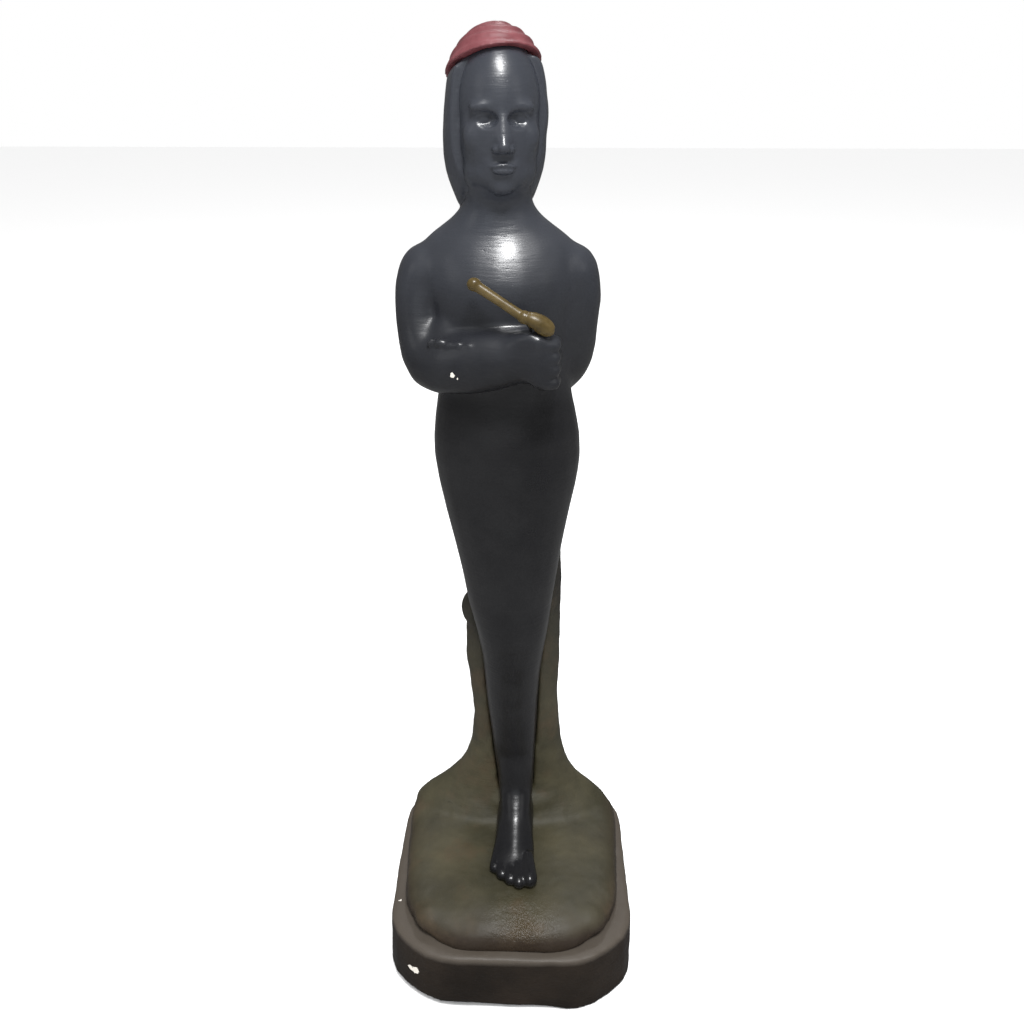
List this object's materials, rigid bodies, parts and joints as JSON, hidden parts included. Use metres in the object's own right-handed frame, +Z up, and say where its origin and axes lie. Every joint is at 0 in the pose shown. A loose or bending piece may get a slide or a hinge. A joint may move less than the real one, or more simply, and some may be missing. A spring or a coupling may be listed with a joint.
{
  "type": "painted plaster folk figure",
  "caption": "Black-painted plaster folk figure standing on one leg before a tree trunk, with a red cap and a pipe, on a stepped plinth.",
  "frame": {"origin": "middle of the flat underside, on the surface that the plinth stands on", "axes": "+X towards the figure's left hand, +Y towards its back, so that it faces -Y, +Z up"},
  "size_m": [0.087, 0.087, 0.3028],
  "materials": {
    "black_paint": "cast plaster under gloss black enamel",
    "cap_paint": "cast plaster under satin dark red enamel",
    "pipe_paint": "cast plaster under gloss ochre brown enamel",
    "ground_paint": "cast plaster under satin olive enamel",
    "trunk_paint": "cast plaster under satin olive enamel that fades to black at the top",
    "plinth_paint": "cast plaster under satin dark brown enamel, chipped",
    "bare_plaster": "matte unpainted cast plaster",
    "core_steel": "satin drawn wire",
    "pad_felt": "matte thin felt"
  },
  "bodies": {
    "root": {"felt_pad": "pad_felt", "bottom_plate": "bare_plaster", "plinth": "plinth_paint", "ground": "ground_paint", "tree_trunk": "trunk_paint", "hips_and_leg": "black_paint", "torso": "black_paint", "right_arm": "black_paint", "left_arm": "black_paint", "head": "black_paint", "hair": "black_paint", "cap": "cap_paint", "pipe": "pipe_paint", "pipe_wire": "core_steel", "armature_rod": "core_steel", "right_arm_wire": "core_steel", "left_arm_wire": "core_steel", "trunk_pin": "core_steel", "thigh_pin": "core_steel"}
  },
  "joints": []
}
